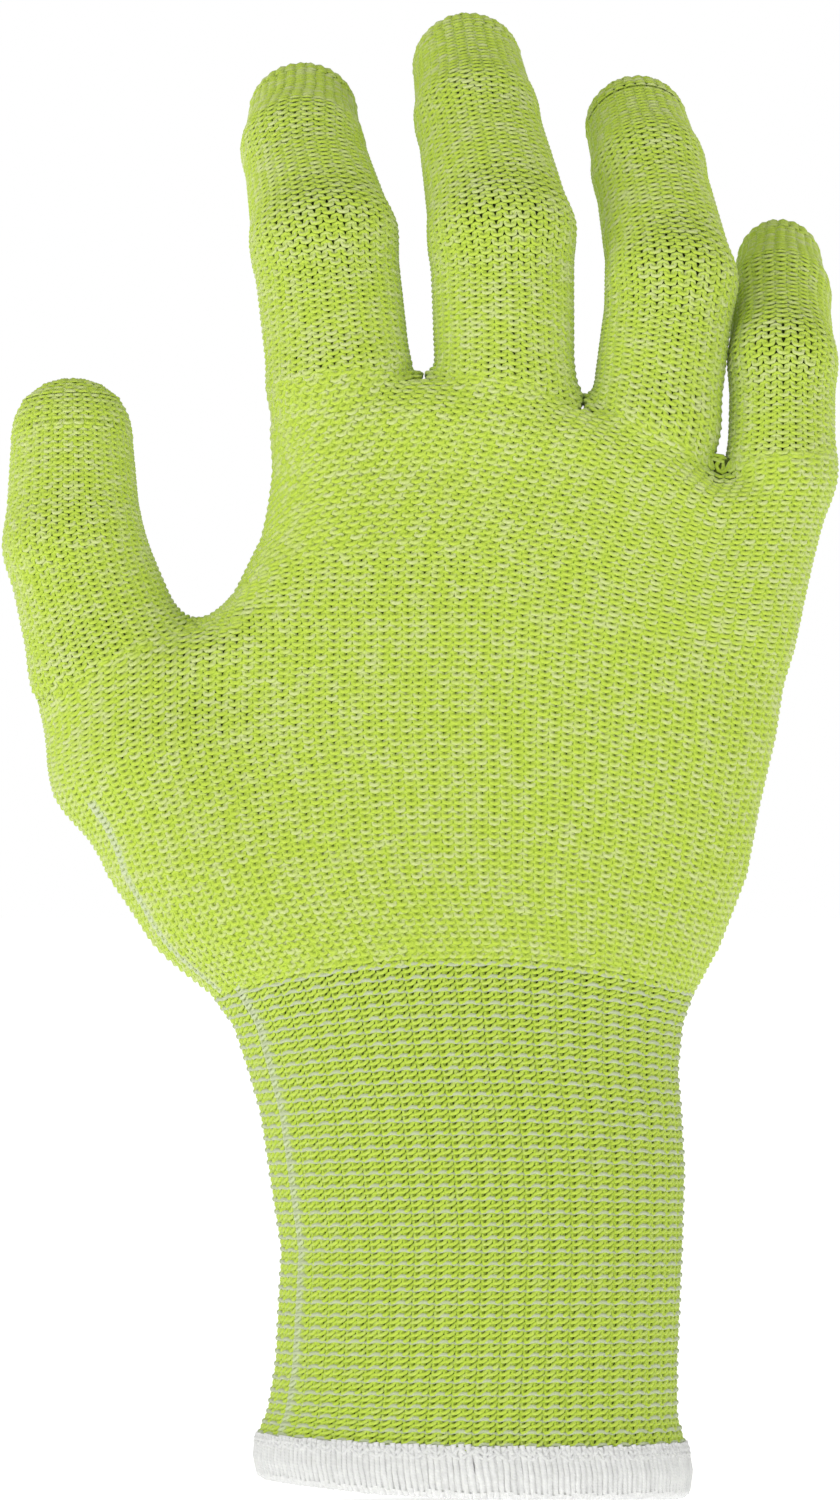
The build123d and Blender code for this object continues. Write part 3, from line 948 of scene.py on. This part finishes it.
# Cuff: rib knit with an elastic yarn in every other course.
def oval(turn):
    """A slightly squared unit circle, the section of the cuff."""
    x, y = np.cos(turn), np.sin(turn)
    return np.sign(x) * np.abs(x) ** CUFF_SQUARENESS, np.sign(y) * np.abs(y) ** CUFF_SQUARENESS


def cuff_section(z):
    """Centre, half width and half depth of the cuff at a height."""
    return [np.interp(z, CUFF_RINGS[:, 0], CUFF_RINGS[:, column]) for column in (1, 2, 3)]


def hem_tilt(x, z):
    """How far the cuff's edge is lifted: it hangs a little lower towards the little finger."""
    return np.interp(x, HEM_LIFT_X, HEM_LIFT) * np.clip(1 - z / HEM_TILT_HEIGHT, 0, 1)


def cuff_ring(share, columns):
    """Ring of the cuff at a share of the way from the hem to its arched top."""
    turn = np.arange(720) / 720 * 2 * math.pi + math.pi
    level = HEM_TOP + (CUFF_TOP - HEM_TOP) * share
    z = np.full_like(turn, level)
    for _ in range(3):
        centre, width, depth = cuff_section(z)
        x = centre + width * oval(turn)[0]
        z = level + (cuff_arch(x) - CUFF_TOP) * share ** 2.5
    y = depth * oval(turn)[1]
    return evened(np.stack([x, y, z + hem_tilt(x, z)], axis=1), columns)


cuff_courses = ELASTIC_COURSES * 2
cuff_grid = np.array([cuff_ring(row / cuff_courses, CUFF_WALES * 2) for row in range(cuff_courses + 1)])
wrist_row = int(cuff_courses * (wrist[2] - 11 - HEM_TOP) / (CUFF_TOP - HEM_TOP))
cuff_options = {"rib": RIB_HEIGHT, "lean": 0.22, "line": CUFF_SIDE_WALE, "fleck": 0.55}
yarn = knit_bands("cuff_stitches", cuff_grid, 1, wrist_row, 3, riding("cuff"), **cuff_options)
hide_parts("cuff_rib_knit")
knit_piece("cuff_stitches_wrist", cuff_grid, wrist_row, cuff_courses + 2, wrist_bend, **cuff_options)


def elastic_piece(name, first, last, place_on):
    """Elastic yarns laid in the rib: each shows across every second wale and hides behind the next."""
    rows = np.arange(first, last) * 2 + 1.0
    wale = np.arange(CUFF_WALES * ELASTIC_SAMPLES) / ELASTIC_SAMPLES
    row_grid = rows[:, None] + 0.15 * np.cos(math.pi * wale)[None, :]
    column_grid = np.broadcast_to(wale[None, :] * 2, row_grid.shape)
    place = sample(cuff_grid, row_grid, column_grid)
    normal = sample(grid_frame(cuff_grid), row_grid, column_grid)
    normal /= np.linalg.norm(normal, axis=2)[:, :, None]
    swing = np.clip(0.40 + 0.46 * np.cos(math.pi * wale), -0.1, 0.4)
    swing = np.repeat(swing[None, :], len(rows), axis=0)
    if last == ELASTIC_COURSES:
        swing[-1] = 0.36    # the last one, on the joint with the hand, shows all the way round
    place = place + normal * swing[:, :, None]
    amount = soft_noise(len(rows), CUFF_WALES, 2, ELASTIC_SAMPLES)
    tone = [amount, 3.0 * amount]
    yarn = add_piece(name, yarn_mesh(name, place, normal, tone, 0.33, 0.26), grey_yarn)
    place_on(yarn)
    return yarn


wrist_elastic = wrist_row // 2
yarn = elastic_piece("cuff_elastic", 0, wrist_elastic, riding("cuff"))
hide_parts("cuff_elastic_yarn")
elastic_piece("cuff_elastic_wrist", wrist_elastic, ELASTIC_COURSES, wrist_bend)


# Hem: overlock thread wrapped over the cuff's edge, and the needle thread that locks it.
def hem_shell(share, turn):
    """Point and normal on the cuff's edge: share runs from the hem's top outside, round the edge, to the
    inside."""
    outside = HEM_TOP + 0.3
    total = outside + HEM_EDGE + HEM_INSIDE
    distance = share * total
    z = np.where(distance < outside, outside - distance, np.clip(distance - outside - HEM_EDGE, 0, None))
    under = np.clip((distance - outside) / HEM_EDGE, 0, 1)
    inset = HEM_THICKNESS * (0.5 - 0.5 * np.cos(under * math.pi))
    dip = HEM_DIP * np.sin(under * math.pi)
    z = np.maximum(z, 0.0) + HEM_DIP - dip
    centre, width, depth = cuff_section(z)
    width = width - inset + 0.25
    depth = depth - inset + 0.25
    x = centre + width * oval(turn)[0]
    y = depth * oval(turn)[1]
    normal = np.stack([np.cos(turn) / width, np.sin(turn) / depth, 0 * turn], axis=-1)
    normal /= np.linalg.norm(normal, axis=-1)[..., None]
    face = np.cos(under * math.pi)[..., None]
    down = -np.sin(under * math.pi)[..., None] * np.array([0, 0, 1.0])
    return np.stack([x, y, z + hem_tilt(x, z)], axis=-1), normal * face + down


def hem_piece(name, low_share, high_share, lean, lift, first_turn=0.0):
    """Parallel strands of thread over a stretch of the edge, lifted this far above it; lean is how far round
    the cuff each strand runs."""
    samples = 15
    half_width, half_depth = CUFF_RINGS[0, 2:]
    angle = np.arange(2000) / 2000 * 2 * math.pi
    edge = np.stack([half_width * np.cos(angle), half_depth * np.sin(angle), 0 * angle], axis=1)
    even = evened(edge, HEM_STRANDS)
    turn = np.arctan2(even[:, 1] / half_depth, even[:, 0] / half_width)
    wander = soft_noise(HEM_STRANDS, 3, 1, samples // 3)
    turn = turn[:, None] + first_turn + np.linspace(0, lean, samples)[None, :] + 0.008 * (wander - 0.5)
    share = np.linspace(low_share, high_share, samples)[None, :]
    share = share + 0.03 * (rng.random((HEM_STRANDS, 1)) - 0.5)
    place, normal = hem_shell(np.broadcast_to(share, turn.shape), turn)
    place = place + normal * lift
    amount = rng.random((HEM_STRANDS, 1)) * np.ones((1, samples))
    tone = [amount, amount * 3]
    mesh = yarn_mesh(
        name, place, normal, tone, THREAD_WIDTH, THREAD_DEPTH, facets=6, closed=False, spread=120
    )
    piece = add_piece(name, mesh, white_thread)
    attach(piece, "cuff")
    return piece


half_strand = math.pi / HEM_STRANDS
outer_hem = hem_piece("hem_outer_wrap", 0.0, 0.60, 0.02, 0.3)
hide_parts("hem_upper_looper_thread")
hem_piece("hem_under_wrap", 0.02, 0.60, 0.02, 0.0, half_strand)
inner_hem = hem_piece("hem_inner_wrap", 0.50, 1.0, -0.02, 0.3)
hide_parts("hem_lower_looper_thread")


def needle_piece(name, level, swing, waves):
    """Thread that runs round the hem at a level, in waves."""
    turns = np.arange(HEM_STRANDS * 8) / (HEM_STRANDS * 8) * 2 * math.pi
    wave = np.sin(turns * waves)
    z = level + swing * wave
    centre, width, depth = cuff_section(z)
    width = width + 0.85
    depth = depth + 0.85
    lift = 0.25 * np.abs(wave)
    x = centre + (width - lift) * oval(turns)[0]
    place = np.stack([x, (depth - lift) * oval(turns)[1], z + hem_tilt(x, z)], axis=1)[None]
    normal = np.stack([np.cos(turns) / width, np.sin(turns) / depth, 0 * turns], axis=1)[None]
    normal /= np.linalg.norm(normal, axis=2)[:, :, None]
    amount = np.zeros((1, len(turns)))
    mesh = yarn_mesh(name, place, normal, [amount, amount], 0.34, 0.3, facets=6, spread=140)
    piece = add_piece(name, mesh, white_thread)
    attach(piece, "cuff")
    return piece


needle = needle_piece("hem_needle_stitches", HEM_TOP, 0.5, 100)
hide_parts("hem_needle_thread")
needle_piece("hem_looper_crossings", HEM_TOP - 0.8, 0.5, 67)


# Stage: pale floor, white surroundings and soft lights from the front.
AMBIENT = 0.32
FLOOR_GLOW = 0.8
FLOOR_LIGHT = (0.95, 0.95, 0.95)
FLOOR_DARK = (0.93, 0.93, 0.93)


def floor_material():
    material, nodes, links, shader = new_material("floor")
    noise = nodes.new("ShaderNodeTexNoise")
    noise.inputs["Scale"].default_value = 3
    tint = mixed(nodes, links, noise.outputs["Fac"], FLOOR_DARK, FLOOR_LIGHT)
    links.new(tint, shader.inputs["Base Color"])
    shader.inputs["Roughness"].default_value = 0.9
    shader.inputs["Emission Color"].default_value = (1, 1, 1, 1)
    shader.inputs["Emission Strength"].default_value = FLOOR_GLOW
    return material


floor_mesh = bpy.data.meshes.new("floor")
floor_mesh.from_pydata([(-9, -9, 0), (9, -9, 0), (9, 9, 0), (-9, 9, 0)], [], [(0, 1, 2, 3)])
floor = bpy.data.objects.new("floor", floor_mesh)
floor.location = (0, 0, -0.0015)
floor_mesh.materials.append(floor_material())
bpy.context.scene.collection.objects.link(floor)

world = bpy.data.worlds.new("studio")
bpy.context.scene.world = world
world.use_nodes = True
background = world.node_tree.nodes["Background"]
background.inputs["Color"].default_value = (1, 1, 1, 1)
path = world.node_tree.nodes.new("ShaderNodeLightPath")
strength = world.node_tree.nodes.new("ShaderNodeMapRange")
strength.inputs["To Min"].default_value = AMBIENT
strength.inputs["To Max"].default_value = 1.0
world.node_tree.links.new(path.outputs["Is Camera Ray"], strength.inputs["Value"])
world.node_tree.links.new(strength.outputs["Result"], background.inputs["Strength"])


def area_light(name, place, target, size, power):
    data = bpy.data.lights.new(name, "AREA")
    data.shape = "SQUARE"
    data.size = size
    data.energy = power
    light = bpy.data.objects.new(name, data)
    light.location = place
    light.rotation_mode = "QUATERNION"
    light.rotation_quaternion = (Vector(target) - Vector(place)).to_track_quat("-Z", "Y")
    bpy.context.scene.collection.objects.link(light)


area_light("front", (-0.15, -1.1, 0.95), (0, 0, 0.14), 0.7, 5.0)
area_light("left", (-1.0, -0.75, 0.4), (0, 0, 0.13), 0.6, 4.2)
area_light("right", (1.1, -0.55, 0.4), (0, 0, 0.13), 0.6, 2.6)

bpy.context.scene.view_settings.view_transform = "Standard"
bpy.context.scene.view_settings.look = "None"
